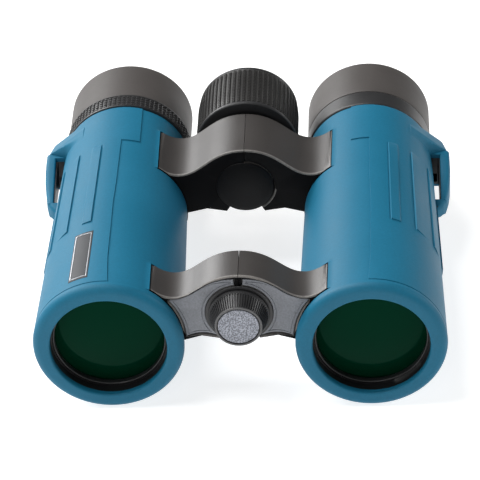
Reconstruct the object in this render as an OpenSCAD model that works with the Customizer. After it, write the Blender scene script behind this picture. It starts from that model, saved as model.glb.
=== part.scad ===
// Open-bridge roof-prism binoculars, lying flat with the barrels opened to the stop.
// +Z up, +Y from the objectives to the eyepieces, +X to the left-hand barrel of the user.
// The origin is under the middle of the whole instrument, on the surface it lies on.

/* [Barrels] */
// Length of each armoured barrel
barrel_length = 99.6; // [92:0.2:120]
// Radius of the armour behind its front rim
barrel_r = 22.3; // [20:0.1:27]
// Loss of armour radius for each millimetre towards the eyepiece
barrel_taper = 0.0257; // [0.015:0.0005:0.03]
// Thickness of the rubber armour
armour_t = 2.2; // [1.8:0.1:2.4]
// Rounding of the armour's front rim
rim_round = 2.6; // [1.5:0.1:3]
// Depth of the hood recess in front of the objective
hood_depth = 4.5; // [3:0.1:7]
// Height of the grip ribs
rib_step = 0.45; // [0.3:0.05:0.7]

/* [Hinge] */
// Angle of each barrel below the hinge when fully open
open_angle = 13.6; // [8:0.2:18]
// Room between the focus wheel and the armour beside it
wheel_room = 3.72; // [2.4:0.02:6]
// Radius of the hinge knuckles
knuckle_r = 8.9; // [8.4:0.1:9.6]
// Radius of the hinge tubes
hinge_tube_r = 5.0; // [4.6:0.1:5.4]
// Rise of the bridges above the hinge axis
bridge_rise = 13.3; // [12:0.1:15]
// Gap behind the objective face to the front bridge
front_bridge_at = 4.9; // [4.5:0.1:9]
// Length of the front bridge along the barrels
front_bridge_len = 12.5; // [11:0.1:18]
// Distance from the rear bridge to the armour's rear edge
rear_bridge_back = 9.6; // [8:0.1:14]
// Length of the rear bridge along the barrels
rear_bridge_len = 20.4; // [19.8:0.1:25]

/* [Focus] */
// Radius of the focus wheel
wheel_r = 16.1; // [14:0.1:18.5]
// Length of the focus wheel
wheel_len = 21.7; // [18:0.1:26.5]
// Travel of the focus nut to each side of the middle
focus_travel = 2.8; // [1.6:0.1:2.9]
// Thickness of a focus arm's ring and bar
arm_t = 1.5; // [1.2:0.05:1.55]

/* [Eyepieces] */
// Radius of the eyecups
eyecup_r = 19.55; // [18.6:0.05:23]
// Length of the collar between armour and eyecup
collar_len = 6.7; // [5.5:0.1:8.5]
// Length of a lowered eyecup
eyecup_len = 18.7; // [17.8:0.1:23]
// Rise of a twisted-up eyecup
eyecup_rise = 7.0; // [4:0.1:7.2]
// Outer radius of the eyepiece tube
eye_tube_r = 16.2; // [15.6:0.05:16.3]

/* [Tripod socket] */
// Wall radius of the 1/4-20 socket's thread crests
socket_r = 2.55; // [2.5:0.01:3.2]
// Depth of the threaded socket
socket_depth = 7.0; // [5:0.1:9]
// How far the cap stands in front of the objectives
cap_proud = 2.0; // [1:0.1:3]

/* [Hidden] */
$fn = 96;

RIGHT = -1;
LEFT = 1;
// clearances
seat_gap = 0.05;
run_gap = 0.05;
edge_gap = 0.15;
swing_gap = 0.3;

// barrel and hinge layout
rear_armour_r = armour_r(barrel_length);
hinge_to_barrel = rear_armour_r + wheel_r + wheel_room;
barrel_x = hinge_to_barrel * cos(open_angle);
hinge_z = hinge_to_barrel * sin(open_angle);
collar_end = barrel_length + collar_len;
cup_end = collar_end + eyecup_len;
mid_y = (cup_end - cap_proud) / 2;

// chassis bores, from the front
hood_r = barrel_r - 5.1;
nose_at = 1.8;
lens_bore_r = hood_r - 0.35;
lens_seat = hood_depth + 9.0;
seat_len = 1.5;
seat_r = hood_r - 1.3;
dark_bore_r = hood_r - 0.2;
slide_bore_r = rear_armour_r - armour_t - 0.95;
rear_lip = 2.1;

// objectives
objective_r = lens_bore_r - 0.1;
crown_at = hood_depth + 2.05;
crown_end = crown_at + 3.1;

// grip ribs, badge and strap lug of the armour
rib_from = 17;
rib_pitch = 22.5;
rib_at = barrel_length - 64;
rib_end = barrel_length - 21;
rib_reach = 4.2;
badge_at = 6.4;
badge_len = 24.2;
badge_from = 13.7;
badge_to = 29.9;
lug_at = barrel_length - 28;
lug_r = armour_r(barrel_length - 13);
lug_out = lug_r + 5.35;
slot_at = barrel_length - 23.6;
slot_end = barrel_length - 8.4;
slot_in = lug_r - 0.5;
slot_out = lug_r + 1.85;
lug_lip = 0.35;
lug_low = -6.5;
core_low = -4.6;
core_high = -1.4;

// front and rear bridges
front_bridge_end = front_bridge_at + front_bridge_len;
front_split = front_bridge_at + front_bridge_len / 2;
rear_bridge_at = barrel_length - rear_bridge_back - rear_bridge_len;
rear_bridge_end = barrel_length - rear_bridge_back;
slide_bore_at = rear_bridge_at - 25;
rear_knuckle_len = 4.0;
rear_stem = 1.4;
chamber_at = rear_bridge_at + rear_knuckle_len + edge_gap;
core_wall = 0.95;
chamber_end = rear_bridge_end - rear_knuckle_len - edge_gap - core_wall;
seam_gap = 0.08;
fold_half_angle = 32.6;
fold_max = 62;
tab_angle = -36;
saddle_end = -100;
cover_t = 0.65;
cover_inset = 1.0;
ring_flange_r = knuckle_r + 1.0;

// focus train
spindle_r = 3.0;
groove_r = 3.95;
spool_flange_r = 5.6;
spool_flange_t = 0.8;
spool_len = 2 * spool_flange_t + 2 * arm_t + 4 * run_gap;
spool_at = (chamber_at + chamber_end - spool_len) / 2;
right_ring_at = spool_at + spool_flange_t + run_gap;
left_ring_at = right_ring_at + arm_t + 2 * run_gap;
focus_ring_r = 6.2;
bar_half = 1.6;
rod_r = 1.2;
rod_inset = 14.9 + slide_bore_r - 16.59;
cell_len = 8;
cell_at = slide_bore_at + focus_travel + 2.5;
wheel_at = rear_bridge_end + 2.3;
wheel_end = wheel_at + wheel_len;
wheel_band = 1.3;
wheel_cap_t = 1.4;
grip_t = 1.45;

// prisms
prism_half = 10.5;
prism_gap = 0.3;
prism_reach = 2 * prism_half / (1 + tan(22.5));
prism_len = 2 * prism_half + prism_gap;
cage_at = rear_bridge_end - 24;
prism_at = cage_at + 0.6;
cage_len = prism_len + 1.2;

// eyepieces
tube_at = cage_at + cage_len + 1.2;
tube_end = cup_end - 4.4;
tube_bore_r = eye_tube_r - 2;
cell_r = tube_bore_r - run_gap;
field_r = cell_r - 1.9;
eye_lens_r = cell_r - 2.6;
ocular_at = tube_at + 2;
ocular_end = tube_end - 2.4;
cam_at = collar_end + 1.1;
cam_len = 3.0;
cam_r = eye_tube_r + 1.1;
sleeve_bore_r = cam_r + 0.2;
sleeve_r = eyecup_r - 1.15;
sleeve_lip_at = cam_at + cam_len + 0.6;
cup_floor = cup_end - 4.1;
cup_floor_t = 1.1;
cup_hole_r = 13.2;

// tripod socket
boss_r = 5.9;
boss_at = 0.6;
stem_r = 4.0;
disc_r = knuckle_r - 2.6;
cap_skirt_end = front_bridge_at - 1.0;

function armour_r(y) = barrel_r - barrel_taper * y;
function chassis_r(y) = armour_r(y) - armour_t;
// a point at an angle from straight up, positive away from the hinge
function around(r, a) = [r * sin(a), r * cos(a)];
function bezier(a, b, c, d, t) =
    a * pow(1 - t, 3) + 3 * b * t * pow(1 - t, 2) + 3 * c * pow(t, 2) * (1 - t) + d * pow(t, 3);

module row_frame() translate([0, -mid_y, barrel_r]) children();
// local frame of one barrel: its axis is Y through the origin, +X points away from the hinge
module side_frame(side) row_frame() translate([side * barrel_x, 0, 0])
    mirror([side < 0 ? 1 : 0, 0, 0]) children();
// an X-Z outline carried along Y
module along_y(y0, y1) translate([0, y1, 0]) rotate([90, 0, 0]) linear_extrude(y1 - y0) children();
// a radius-Y outline turned about the Y axis
module turned() rotate([-90, 0, 0]) rotate_extrude() children();
module rod_y(r, y0, y1) rotate([-90, 0, 0]) translate([0, 0, y0]) cylinder(h = y1 - y0, r = r);
module at_hinge() translate([0, 0, hinge_z]) children();
module own_hinge() translate([-barrel_x, 0, hinge_z]) children();
// from the hinge axis, +X points at the barrel axis
module toward_barrel() own_hinge() rotate([0, open_angle, 0]) children();
module tapered(y0, y1, inset) rotate([-90, 0, 0]) translate([0, 0, y0])
    cylinder(h = y1 - y0, r1 = armour_r(y0) - inset, r2 = armour_r(y1) - inset);
module wedge(a0, a1, y0, y1) along_y(y0, y1)
    polygon([[0, 0], for (i = [0:4]) around(2 * barrel_r, a0 + (a1 - a0) * i / 4)]);

// ---- shells ----
module skin_outline() turned() polygon([
    [0, 0], [barrel_r - rim_round, 0],
    for (a = [15:15:75]) [barrel_r - rim_round + rim_round * sin(a), rim_round - rim_round * cos(a)],
    [armour_r(rim_round), rim_round], [rear_armour_r, barrel_length], [0, barrel_length]]);
// room inside the armour for the chassis, behind a lip round its nose
module skin_hollow() turned() polygon([
    [0, -1], [hood_r, -1], [hood_r, nose_at], [chassis_r(nose_at), nose_at],
    [chassis_r(barrel_length + 1), barrel_length + 1], [0, barrel_length + 1]]);
module bridge_window(y0, y1) intersection() {
    tapered(y0 - edge_gap, y1 + edge_gap, -1);
    wedge(tab_angle + 0.6, saddle_end - 0.6, y0 - edge_gap, y1 + edge_gap);
}

// strap lug: an outer bar, a slot and a rear web
module lug_plan(grow) polygon([
    [0, lug_at - grow], [lug_r, lug_at - grow], [lug_r + 3.4 + grow, slot_at],
    [lug_out - 1.2 + grow, barrel_length - 13], [lug_out - 1.4 + grow, barrel_length - 6],
    [lug_out - 2.2 + grow, barrel_length - 1.2 + grow], [0, barrel_length - 1.2 + grow]]);
module lug_body() intersection() {
    translate([0, 0, lug_low]) linear_extrude(30) lug_plan(1.2);
    along_y(lug_at - 2, barrel_length) polygon([[0, 0], around(lug_r, 40),
        around(lug_r, 40) + 15.2 * [cos(40), -sin(40)], [lug_out, 2.6], [lug_out, -4],
        around(lug_r, 108)]);
    rotate([90, 0, 90]) linear_extrude(40) polygon([
        [barrel_length, lug_r], [slot_end + 0.6, lug_r], [slot_end - 1, 5.6],
        [slot_at, -0.6], [lug_at - 2, -1.4], [lug_at - 2, lug_low], [barrel_length, lug_low]]);
}
module lug_slot(grow) translate([slot_in - grow, slot_at - grow, -barrel_r])
    cube([slot_out - slot_in + 2 * grow, slot_end - slot_at + 2 * grow, 2 * barrel_r]);
module lug_core() difference() {
    translate([0, 0, core_low]) linear_extrude(core_high - core_low) lug_plan(0);
    lug_slot(0);
}
// a rib has a wall on its hinge side and slopes away into the armour
module rib(a, y0, y1) rotate([0, a, 0]) translate([0, y0, armour_r(y0)])
    rotate([-atan(barrel_taper), 0, 0]) along_y(0, y1 - y0)
        polygon([[0, -1], [0, rib_step], [rib_reach, -0.65], [rib_reach, -1.6]]);
module badge_plate(depth, proud, grow) intersection() {
    difference() {
        tapered(badge_at - grow, badge_at + badge_len + grow, -proud);
        tapered(badge_at - 1, badge_at + badge_len + 1, depth);
    }
    wedge(badge_from - grow, badge_to + grow, badge_at - grow, badge_at + badge_len + grow);
}

module armour(side) color("steelblue") side_frame(side) difference() {
    union() {
        skin_outline();
        lug_body();
        for (i = [0:3]) rib(rib_from + rib_pitch * i, rib_at, i < 3 ? rib_end : lug_at - 2.5);
    }
    skin_hollow();
    bridge_window(front_bridge_at, front_bridge_end);
    bridge_window(rear_bridge_at, rear_bridge_end);
    lug_slot(lug_lip);
    lug_core();
    if (side == RIGHT) badge_plate(0.35, 1, 0.05);
}
module right_armour() armour(RIGHT);
module left_armour() armour(LEFT);
module badge() color("slategray") side_frame(RIGHT) badge_plate(0.3, 0.15, 0);

module chassis_tube() turned() polygon([
    [hood_r, nose_at + seat_gap], [chassis_r(nose_at) - seat_gap, nose_at + seat_gap],
    [chassis_r(barrel_length) - seat_gap, barrel_length - seat_gap],
    [eye_tube_r + seat_gap, barrel_length - seat_gap], [eye_tube_r + seat_gap, barrel_length - rear_lip],
    [slide_bore_r, barrel_length - rear_lip], [slide_bore_r, slide_bore_at],
    [dark_bore_r, slide_bore_at], [dark_bore_r, lens_seat + seat_len], [seat_r, lens_seat + seat_len],
    [seat_r, lens_seat], [lens_bore_r, lens_seat], [lens_bore_r, hood_depth], [hood_r, hood_depth]]);
module focus_slot(ring_at) toward_barrel()
    translate([knuckle_r, ring_at - focus_travel - swing_gap, -bar_half - swing_gap])
        cube([hinge_to_barrel - knuckle_r, arm_t + 2 * (focus_travel + swing_gap),
            2 * (bar_half + swing_gap)]);
module chassis(side) color("dimgray") side_frame(side) difference() {
    union() {
        chassis_tube();
        difference() {
            lug_core();
            tapered(lug_at - 3, barrel_length + 3, armour_t + 0.6);
        }
    }
    focus_slot(side == RIGHT ? right_ring_at : left_ring_at);
    bridge_screw_set(seat_gap);
}
module right_chassis() chassis(RIGHT);
module left_chassis() chassis(LEFT);

// ---- bridges ----
// outline of an arm from the seam over the hinge to its waist, by way of rest to the barrel at the
// end angle, and back along its lower edge
function arm_outline(inset, r, end_angle, rest) = let (
    seam = -barrel_x + seam_gap + inset,
    top = [seam, hinge_z + bridge_rise - inset],
    waist = arm_waist(inset, r),
    span = waist[0] - seam,
    low = around(r, -91.5) + [0, inset],
    corner = [-barrel_x, hinge_z] + (knuckle_r + 2.1 - inset) * [sin(fold_half_angle), -cos(fold_half_angle)]
        + [inset, 0]
) [
    for (i = [0:16]) bezier(top, top + [0.53 * span, 0], [seam + 0.66 * span, waist[1]], waist, i / 16),
    each rest, around(r - 1, end_angle), around(r - 1, -91.5), low, (low + corner) / 2 + [0, 1.3],
    corner, [seam, hinge_z]];
function arm_waist(inset, r) = around(r + 1.2 - inset, -50.3) + [-1.5, 0];
// from the waist up along the tab, leaving level and meeting the barrel along its tangent
function tab_sweep(r) = let (
    waist = arm_waist(0, r),
    end = around(r - 0.1, tab_angle - 1.5),
    bend = end - (end[1] - waist[1]) / tan(1.5 - tab_angle) * [1, tan(1.5 - tab_angle)]
) [for (i = [1:7]) bezier(waist, (waist + 2 * bend) / 3, (end + 2 * bend) / 3, end, i / 7)];
module saddle(y0, y1) intersection() {
    tapered(y0, y1, edge_gap);
    wedge(tab_angle, saddle_end, y0, y1);
}
module arm(y0, y1, own0, own1) let (middle_r = armour_r((y0 + y1) / 2)) difference() {
    union() {
        along_y(y0, y1) polygon(arm_outline(0, middle_r, tab_angle - 1.5, tab_sweep(middle_r)));
        saddle(y0, y1);
        own_hinge() rod_y(knuckle_r, own0, own1);
    }
    if (own0 > y0) own_hinge() rod_y(knuckle_r + swing_gap, y0 - 1, own0);
    if (own1 < y1) own_hinge() rod_y(knuckle_r + swing_gap, own1, y1 + 1);
    tapered(y0 - 1, y1 + 1, armour_t);
    bridge_screw_set(seat_gap);
}
module front_arm(side) color("darkslategray") side_frame(side) difference() {
    if (side == RIGHT) arm(front_bridge_at, front_bridge_end, front_bridge_at, front_split - edge_gap / 2);
    else arm(front_bridge_at, front_bridge_end, front_split + edge_gap / 2, front_bridge_end);
    own_hinge() rod_y(hinge_tube_r + run_gap, front_bridge_at - 1, front_bridge_end + 1);
    cover(0.08);
}
module right_front_arm() front_arm(RIGHT);
module left_front_arm() front_arm(LEFT);
module cover(grow) difference() {
    along_y(front_bridge_at - grow, front_bridge_at + cover_t + grow)
        polygon(arm_outline(cover_inset - grow, armour_r(front_split), -50.3, []));
    own_hinge() rod_y(ring_flange_r + 0.1 - grow, front_bridge_at - 1, front_bridge_at + 2);
    tapered(front_bridge_at - 1, front_bridge_at + 2, -0.5 + grow);
}
module right_front_cover() color("gray") side_frame(RIGHT) cover(0);
module left_front_cover() color("gray") side_frame(LEFT) cover(0);

module rear_arm(side) color("darkslategray") side_frame(side) difference() {
    if (side == RIGHT)
        arm(rear_bridge_at, rear_bridge_end, rear_bridge_at, rear_bridge_at + rear_knuckle_len);
    else arm(rear_bridge_at, rear_bridge_end, rear_bridge_end - rear_knuckle_len, rear_bridge_end);
    if (side == RIGHT) own_hinge() {
        rod_y(hinge_tube_r + run_gap, rear_bridge_at - 1, rear_bridge_at + rear_stem);
        rod_y(spindle_r + run_gap, rear_bridge_at - 1, rear_bridge_end + 1);
    }
    else own_hinge() rod_y(hinge_tube_r + run_gap, rear_bridge_at - 1, rear_bridge_end + 1);
    focus_slot(side == RIGHT ? right_ring_at : left_ring_at);
}
module right_rear_arm() rear_arm(RIGHT);
module left_rear_arm() rear_arm(LEFT);

// screws from inside the barrel into the bridge arms
module radial_screw(a, y, bore_r, grow) translate([0, y, 0]) rotate([0, a, 0]) {
    translate([0, 0, bore_r + 0.1 - 2 * grow]) cylinder(h = 0.8 + 2 * grow, r = 1.7 + grow, $fn = 32);
    translate([0, 0, bore_r + 0.9]) cylinder(h = 5.6 + grow, r = 1.0 + grow, $fn = 32);
}
module bridge_screw_set(grow) {
    for (a = [-62, -84]) radial_screw(a, front_split, lens_bore_r, grow);
    for (y = [rear_bridge_at + 2.2, rear_bridge_end - 2.2])
        radial_screw(open_angle - 90, y, slide_bore_r, grow);
}
module right_bridge_screws() color("silver") side_frame(RIGHT) bridge_screw_set(0);
module left_bridge_screws() color("silver") side_frame(LEFT) bridge_screw_set(0);

// ---- front hinge and tripod socket ----
module front_hinge_tube() color("silver") row_frame() at_hinge() difference() {
    rod_y(hinge_tube_r, front_bridge_at + 0.1, front_bridge_end - 0.1);
    rod_y(stem_r + seat_gap, front_bridge_at, front_bridge_at + 5.2);
    rod_y(2.2, front_bridge_at, front_bridge_end);
}
module front_hinge_cap() color("dimgray") row_frame() at_hinge() {
    turned() polygon([[0, front_bridge_end + edge_gap], [knuckle_r, front_bridge_end + edge_gap],
        [knuckle_r, front_bridge_end + 0.6], [knuckle_r - 1.6, front_bridge_end + 0.95],
        [0, front_bridge_end + 1.2]]);
    rod_y(2.15, front_bridge_end - 5, front_bridge_end + edge_gap);
}
module tripod_insert() color("silver") row_frame() at_hinge() difference() {
    union() {
        rod_y(boss_r, boss_at, front_bridge_at - edge_gap);
        rod_y(ring_flange_r, front_bridge_at - 0.65, front_bridge_at - edge_gap);
        rod_y(stem_r, front_bridge_at - edge_gap, front_bridge_at + 5);
    }
    rod_y(socket_r, boss_at - 1, boss_at + socket_depth);
}
module tripod_cap_washer() color("black") row_frame() at_hinge() difference() {
    rod_y(knuckle_r - 0.3, cap_skirt_end + 0.02, front_bridge_at - 0.67);
    rod_y(boss_r + run_gap, 0, front_bridge_at);
}
module tripod_cap() color("dimgray") row_frame() at_hinge() difference() {
    turned() polygon([[0, -cap_proud], [knuckle_r - 2.06, -cap_proud], [knuckle_r - 0.35, cap_skirt_end - 1],
        [knuckle_r, cap_skirt_end - 0.5], [knuckle_r, cap_skirt_end], [0, cap_skirt_end]]);
    rod_y(boss_r + run_gap, boss_at - 0.3, cap_skirt_end + 1);
    rod_y(disc_r + seat_gap, -cap_proud - 1, -cap_proud + 0.6);
}
module tripod_cap_disc() color("gray") row_frame() at_hinge()
    rod_y(disc_r, -cap_proud + 0.1, -cap_proud + 0.6);

// ---- rear hinge and focus train ----
module hinge_core() color("silver") row_frame() at_hinge() difference() {
    union() {
        rod_y(knuckle_r, chamber_at, chamber_end + core_wall);
        rod_y(hinge_tube_r, chamber_end, rear_bridge_end + 2.1);
    }
    rod_y(knuckle_r - 0.75, chamber_at - 1, chamber_end);
    rod_y(spindle_r + run_gap, chamber_at - 1, rear_bridge_end + 5);
    along_y(chamber_at + 0.7, chamber_end - 0.3) {
        core_window(180 + open_angle - 16, 180 + open_angle + 16);
        core_window(-open_angle - fold_max - 16, -open_angle + 16);
    }
}
// a sector of a ring, angles anticlockwise from +X
module core_window(a0, a1) polygon([
    for (i = [0:6]) (knuckle_r - 1.6) * [cos(a0 + (a1 - a0) * i / 6), sin(a0 + (a1 - a0) * i / 6)],
    for (i = [6:-1:0]) 2 * knuckle_r * [cos(a0 + (a1 - a0) * i / 6), sin(a0 + (a1 - a0) * i / 6)]]);
module rear_hinge_cap() color("dimgray") row_frame() at_hinge() {
    turned() polygon([[0, rear_bridge_at - 1.3], [knuckle_r - 1.8, rear_bridge_at - 0.95],
        [knuckle_r, rear_bridge_at - 0.4], [knuckle_r, rear_bridge_at], [0, rear_bridge_at]]);
    rod_y(hinge_tube_r, rear_bridge_at, rear_bridge_at + rear_stem - 0.1);
}
module focus_spindle() color("gold") row_frame() at_hinge()
    rod_y(spindle_r, rear_bridge_at + rear_stem + 0.2, wheel_end - wheel_cap_t - 0.1);
module focus_nut() color("gold") row_frame() at_hinge() difference() {
    union() {
        rod_y(groove_r, spool_at, spool_at + spool_len);
        rod_y(spool_flange_r, spool_at, spool_at + spool_flange_t);
        rod_y(spool_flange_r, spool_at + spool_len - spool_flange_t, spool_at + spool_len);
    }
    rod_y(spindle_r + run_gap, spool_at - 1, spool_at + spool_len + 1);
}
module focus_arm(ring_at) color("silver") {
    toward_barrel() along_y(ring_at, ring_at + arm_t) difference() {
        union() {
            circle(focus_ring_r);
            translate([0, -bar_half]) square([hinge_to_barrel - rod_inset, 2 * bar_half]);
        }
        circle(groove_r + run_gap);
    }
    toward_barrel() translate([hinge_to_barrel - rod_inset, 0, 0])
        rod_y(rod_r, cell_at + 0.5, ring_at + arm_t + 0.3);
}
module right_focus_arm() side_frame(RIGHT) focus_arm(right_ring_at);
module left_focus_arm() side_frame(LEFT) focus_arm(left_ring_at);

module focus_wheel() color("dimgray") row_frame() at_hinge() turned() polygon([
    [spindle_r + 0.02, wheel_at + 1.2], [6.4, wheel_at + 1.2], [6.4, wheel_at + 0.3],
    [wheel_r - 3.2, wheel_at + 0.3], [wheel_r - 3.2, wheel_at], [wheel_r - 0.5, wheel_at],
    [wheel_r - 0.15, wheel_at + 0.35], [wheel_r - 0.15, wheel_at + wheel_band],
    [wheel_r - grip_t, wheel_at + wheel_band], [wheel_r - grip_t, wheel_end - wheel_cap_t],
    [wheel_r - grip_t - 1.3, wheel_end - wheel_cap_t], [wheel_r - grip_t - 1.3, wheel_at + 3.4],
    [6.4, wheel_at + 3.4], [6.4, wheel_end - wheel_cap_t], [spindle_r + 0.02, wheel_end - wheel_cap_t]]);
module focus_grip() color("black") row_frame() at_hinge() turned() polygon([
    [wheel_r - grip_t + seat_gap, wheel_at + wheel_band + seat_gap],
    [wheel_r - 0.25, wheel_at + wheel_band + seat_gap],
    [wheel_r, wheel_at + 4.5], [wheel_r, wheel_end - 5], [wheel_r - 0.3, wheel_end - wheel_cap_t - seat_gap],
    [wheel_r - grip_t + seat_gap, wheel_end - wheel_cap_t - seat_gap]]);
module focus_end_cap() color("dimgray") row_frame() at_hinge() turned() polygon([
    [0, wheel_end - wheel_cap_t], [wheel_r - 0.4, wheel_end - wheel_cap_t], [wheel_r - 0.4, wheel_end - 0.5],
    [wheel_r - 0.9, wheel_end], [wheel_r - 2.6, wheel_end],
    [wheel_r - 4.2, wheel_end - 0.6], [0, wheel_end - 0.6]]);

// ---- optics ----
// a lens with curved faces: bulge_front and bulge_back are how far the middle stands out of the rim
module lens(r, y0, y1, bulge_front, bulge_back) turned() polygon([
    [0, y0 - bulge_front], for (i = [1:10]) [r * i / 10, y0 - bulge_front * (1 - pow(i / 10, 2))],
    for (i = [10:-1:0]) [r * i / 10, y1 + bulge_back * (1 - pow(i / 10, 2))]]);
module objective_retainer() color("black") difference() {
    rod_y(lens_bore_r - seat_gap, hood_depth, hood_depth + 1.8);
    rod_y(hood_r - 1, hood_depth - 1, hood_depth + 3);
}
module right_objective_retainer() side_frame(RIGHT) objective_retainer();
module left_objective_retainer() side_frame(LEFT) objective_retainer();
module objective_crown() color("darkgreen") lens(objective_r, crown_at, crown_end, 1.5, 1.2);
module objective_flint() color("darkgreen") difference() {
    rod_y(objective_r, crown_end + seat_gap, lens_seat - seat_gap);
    lens(objective_r + 1, crown_at, crown_end + seat_gap, 0, 1.3);
}
module right_objective_crown() side_frame(RIGHT) objective_crown();
module left_objective_crown() side_frame(LEFT) objective_crown();
module right_objective_flint() side_frame(RIGHT) objective_flint();
module left_objective_flint() side_frame(LEFT) objective_flint();

module focus_cell() color("black") difference() {
    rod_y(slide_bore_r - run_gap, cell_at, cell_at + cell_len);
    rod_y(slide_bore_r - 3.6, cell_at - 1, cell_at + cell_len - 1);
    rod_y(slide_bore_r - 4.4, cell_at - 1, cell_at + cell_len + 1);
    toward_barrel() translate([hinge_to_barrel - rod_inset, 0, 0])
        rod_y(rod_r + 0.02, cell_at - 1, cell_at + cell_len + 1);
}
module right_focus_cell() side_frame(RIGHT) focus_cell();
module left_focus_cell() side_frame(LEFT) focus_cell();
module focus_lens() color("darkgreen") difference() {
    rod_y(slide_bore_r - 3.65, cell_at + 2.6, cell_at + cell_len - 1.05);
    lens(slide_bore_r, cell_at - 1, cell_at + 2.3, 0, 1.1);
}
module right_focus_lens() side_frame(RIGHT) focus_lens();
module left_focus_lens() side_frame(LEFT) focus_lens();

// the pair of prisms lies across the light path with a thin gap along their shared 45 degree plane
module prism(outline) translate([-prism_half + 0.5, prism_at, 0]) rotate([90, 0, 90])
    linear_extrude(2 * prism_half - 1) polygon(outline);
module half_penta_prism() color("lightblue") prism([[0, prism_half], [0, -prism_half],
    [prism_reach, prism_reach * tan(22.5) - prism_half]]);
module roof_prism() color("lightblue") prism([[prism_len, -prism_half], [prism_len, prism_half],
    [prism_len - prism_reach, prism_half - prism_reach * tan(22.5)]]);
module right_half_penta_prism() side_frame(RIGHT) half_penta_prism();
module left_half_penta_prism() side_frame(LEFT) half_penta_prism();
module right_roof_prism() side_frame(RIGHT) roof_prism();
module left_roof_prism() side_frame(LEFT) roof_prism();
module prism_cage() color("dimgray") difference() {
    rod_y(slide_bore_r - seat_gap, cage_at, cage_at + cage_len);
    translate([-prism_half + 0.45, prism_at - seat_gap, -prism_half - seat_gap])
        cube([2 * prism_half - 0.9, prism_len + 2 * seat_gap, 2 * (prism_half + seat_gap)]);
    rod_y(prism_half - 1.2, cage_at - 1, cage_at + cage_len + 1);
    toward_barrel() translate([hinge_to_barrel - slide_bore_r - 1, cage_at - 1, -bar_half - swing_gap])
        cube([slide_bore_r + 1 - rod_inset + rod_r + swing_gap, cage_len + 2, 2 * (bar_half + swing_gap)]);
}
module right_prism_cage() side_frame(RIGHT) prism_cage();
module left_prism_cage() side_frame(LEFT) prism_cage();

// ---- eyepieces ----
module eyepiece_tube() color("dimgray") difference() {
    union() {
        rod_y(min(eye_tube_r, slide_bore_r - seat_gap), tube_at, barrel_length);
        rod_y(slide_bore_r - seat_gap, tube_at, barrel_length - rear_lip - seat_gap);
        rod_y(eye_tube_r, barrel_length - rear_lip + seat_gap, tube_end);
    }
    rod_y(tube_bore_r, tube_at - 1, tube_end + 1);
}
module right_eyepiece_tube() side_frame(RIGHT) eyepiece_tube();
module left_eyepiece_tube() side_frame(LEFT) eyepiece_tube();
module ocular_cell() color("black") difference() {
    rod_y(cell_r, ocular_at, ocular_end);
    rod_y(field_r + seat_gap, ocular_at - 1, ocular_at + 5.2);
    rod_y(field_r - 1, ocular_at, ocular_end - 8);
    rod_y(eye_lens_r + seat_gap, ocular_at, ocular_end - 1);
    rod_y(eye_lens_r - 0.7, ocular_at, ocular_end + 1);
}
module right_ocular_cell() side_frame(RIGHT) ocular_cell();
module left_ocular_cell() side_frame(LEFT) ocular_cell();
module field_lens() color("darkgreen") lens(field_r, ocular_at + 1.6, ocular_at + 5.1, 1.2, 0);
module eye_lens() color("darkgreen") lens(eye_lens_r, ocular_end - 5.6, ocular_end - 1.1, 1.2, 0.6);
module right_field_lens() side_frame(RIGHT) field_lens();
module left_field_lens() side_frame(LEFT) field_lens();
module right_eye_lens() side_frame(RIGHT) eye_lens();
module left_eye_lens() side_frame(LEFT) eye_lens();

module collar(r, y1) turned() polygon([
    [eye_tube_r + run_gap, barrel_length + edge_gap], [r - 0.4, barrel_length + edge_gap],
    [r, barrel_length + 0.55], [r, y1 - 0.4], [r - 0.4, y1], [eye_tube_r + run_gap, y1]]);
module diopter_ring() color("dimgray") side_frame(RIGHT) collar(eyecup_r + 0.45, collar_end - edge_gap);
module left_collar() color("dimgray") side_frame(LEFT) collar(eyecup_r + 0.1, collar_end + 0.8);

module cam_ring() color("silver") difference() {
    rod_y(cam_r, cam_at, cam_at + cam_len);
    rod_y(eye_tube_r + run_gap, cam_at - 1, cam_at + cam_len + 1);
}
module right_eyecup_cam_ring() side_frame(RIGHT) cam_ring();
module left_eyecup_cam_ring() side_frame(LEFT) cam_ring();
module eyecup_sleeve(front) color("black") turned() polygon([
    [sleeve_bore_r, front], [sleeve_r, front], [sleeve_r, cup_floor + cup_floor_t],
    [cup_hole_r, cup_floor + cup_floor_t], [cup_hole_r, cup_floor], [sleeve_bore_r, cup_floor],
    [sleeve_bore_r, sleeve_lip_at + 2],
    [eye_tube_r + run_gap, sleeve_lip_at + 2], [eye_tube_r + run_gap, sleeve_lip_at],
    [sleeve_bore_r, sleeve_lip_at]]);
module right_eyecup_sleeve() side_frame(RIGHT) eyecup_sleeve(collar_end + 0.2);
module left_eyecup_sleeve() side_frame(LEFT) eyecup_sleeve(collar_end + 1.0);
module eyecup_rubber(front) color("black") turned() polygon([
    [sleeve_r + seat_gap, front], [eyecup_r - 0.25, front], [eyecup_r, front + 0.5],
    [eyecup_r, cup_end - 2.2],
    for (a = [15:15:75]) [eyecup_r - 2 + 2 * cos(a), cup_end - 2.2 + 2.2 * sin(a)],
    [eyecup_r - 2.2, cup_end], [eyecup_r - 3.4, cup_end - 0.2],
    [cup_hole_r + 0.2, cup_floor + cup_floor_t + 0.6],
    [cup_hole_r, cup_floor + cup_floor_t + seat_gap],
    [sleeve_r + seat_gap, cup_floor + cup_floor_t + seat_gap]]);
module right_eyecup_rubber() side_frame(RIGHT) eyecup_rubber(collar_end + edge_gap);
module left_eyecup_rubber() side_frame(LEFT) eyecup_rubber(collar_end + 0.95);

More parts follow.
